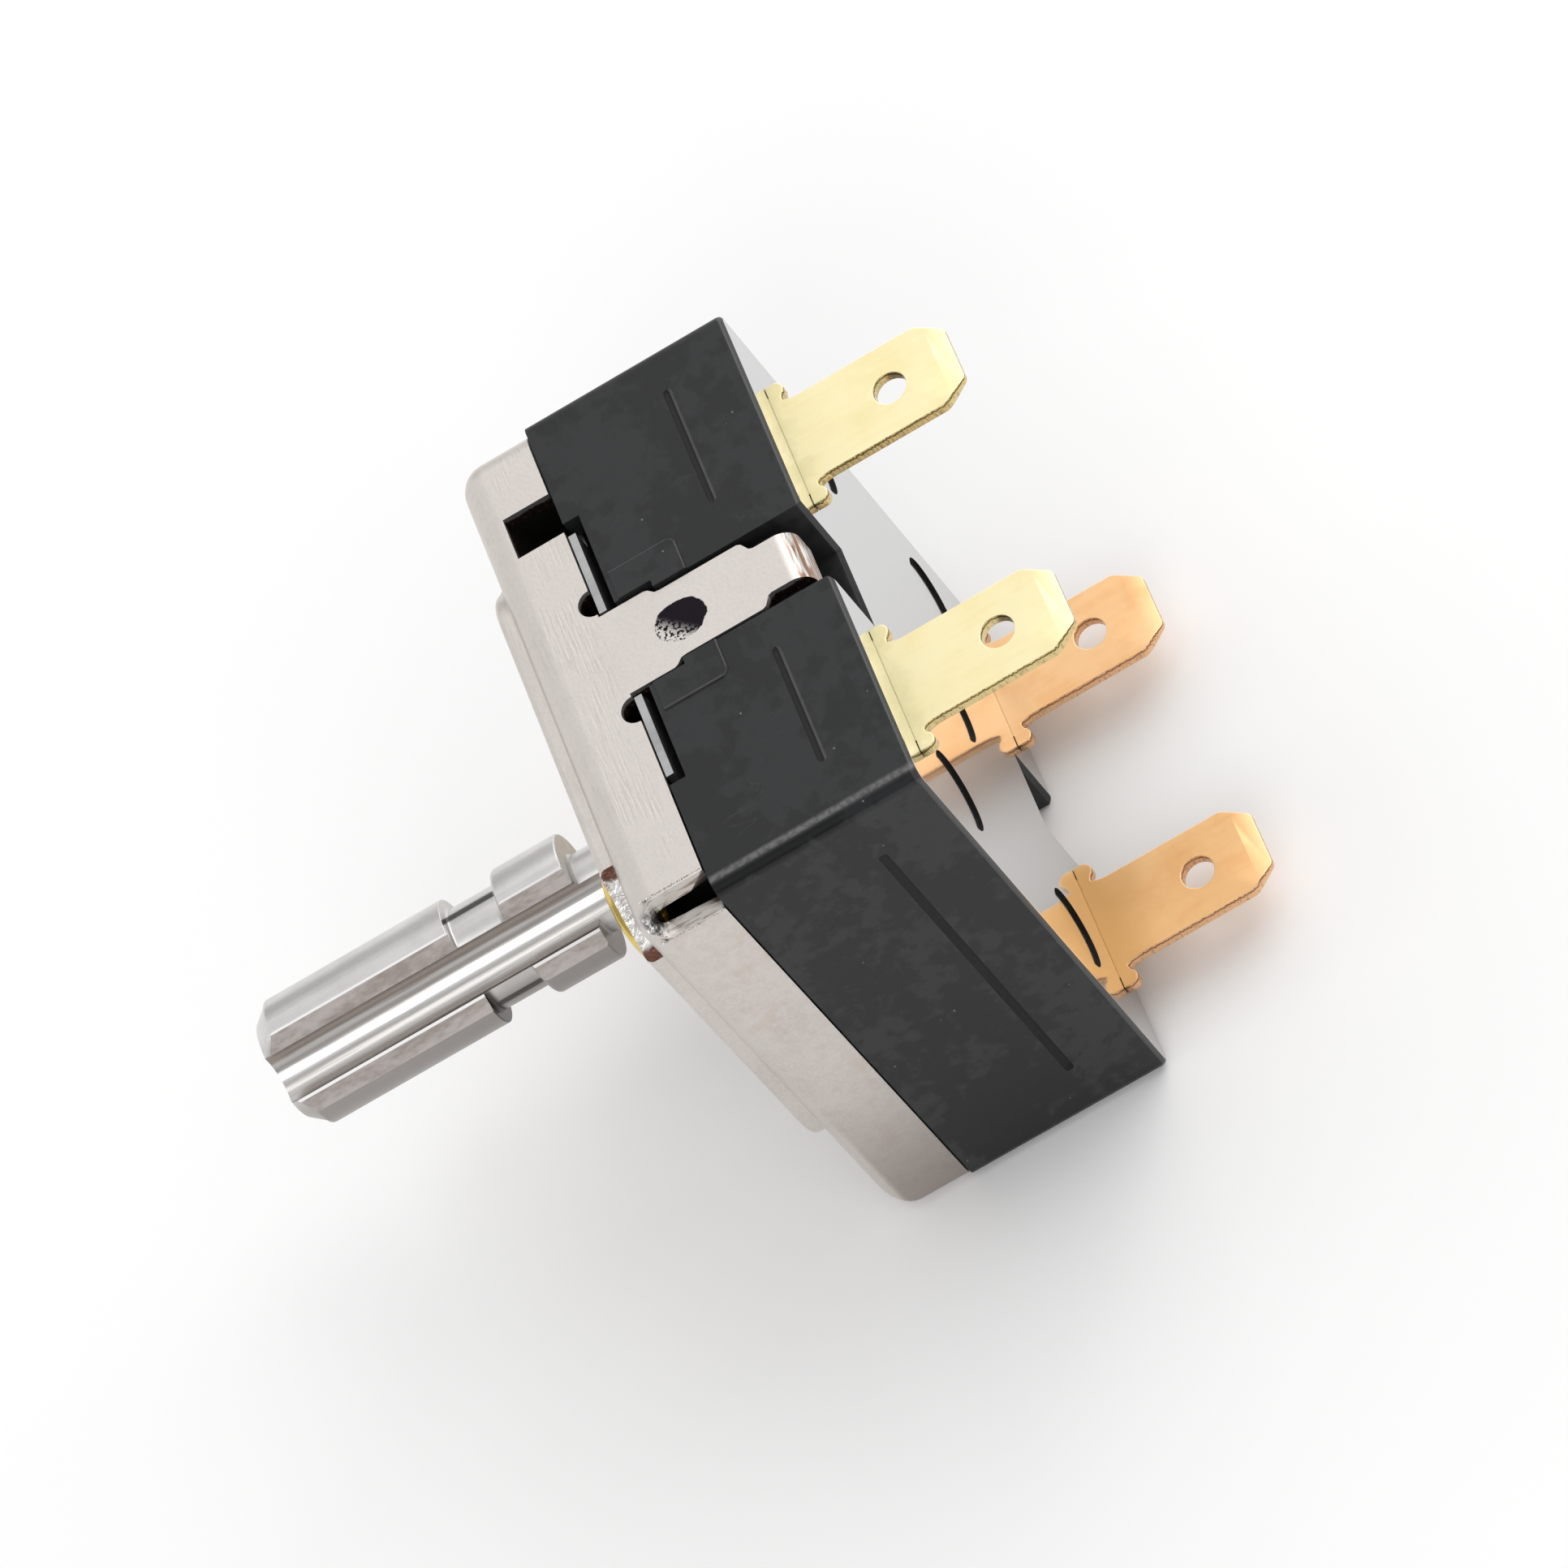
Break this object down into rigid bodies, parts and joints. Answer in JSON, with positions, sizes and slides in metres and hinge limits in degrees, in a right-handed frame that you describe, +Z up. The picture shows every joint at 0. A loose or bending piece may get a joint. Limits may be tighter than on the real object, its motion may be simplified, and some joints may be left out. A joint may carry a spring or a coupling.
{
  "type": "rotary switch",
  "caption": "Square panel-mount rotary switch: folded steel front plate with two straps, black moulded housing, slotted flatted spindle and blade terminals.",
  "frame": {"origin": "bottom centre of the whole switch, lying on the lower side of its housing", "axes": "+Y along the spindle's axis from its tip towards the terminals, +Z up through the side with the upper strap, +X to the right of someone looking along +Y"},
  "size_m": [0.038, 0.0586, 0.0383],
  "materials": {
    "nickel_steel": "plated sheet, soft sheen, bare sheared edges",
    "bright_steel": "bright",
    "black_moulding": "black thermoset moulding, satin sides and a glossy back",
    "zinc_casting": "silver-grey die casting, satin",
    "natural_nylon": "natural, matt",
    "brass": "bright stamped brass",
    "copper_alloy": "bright copper-coloured spring alloy",
    "silver_contact": "bright silver"
  },
  "bodies": {
    "case": {"front_plate": "nickel_steel", "detent_plate": "bright_steel", "housing": "black_moulding", "spindle_washer": "bright_steel", "terminal_1": "brass", "terminal_2": "brass", "terminal_3": "copper_alloy", "terminal_4": "copper_alloy", "fixed_contact_1": "silver_contact", "fixed_contact_2": "silver_contact", "moving_contact_3": "silver_contact", "moving_contact_4": "silver_contact", "mounting_insert_1": "brass", "mounting_insert_2": "brass"},
    "rotor": {"spindle": "zinc_casting", "index_rotor": "black_moulding", "contact_cam": "natural_nylon", "detent_spring_1": "bright_steel", "detent_spring_2": "bright_steel"},
    "ball_1": {"detent_ball_1": "bright_steel"},
    "ball_2": {"detent_ball_2": "bright_steel"}
  },
  "joints": [
    {"name": "spindle_turn", "type": "hinge", "parent": "case", "child": "rotor", "pos_m": [0, 0, 0.01915], "axis": [0, 1, 0], "range_deg": [0, 135]},
    {"name": "ball_1_slide", "type": "slide", "parent": "rotor", "child": "ball_1", "axis": [0, 1, 0], "range_m": [0, 0.0004], "stiffness_N_per_m": 200},
    {"name": "ball_2_slide", "type": "slide", "parent": "rotor", "child": "ball_2", "axis": [0, 1, 0], "range_m": [0, 0.0004], "stiffness_N_per_m": 200}
  ]
}
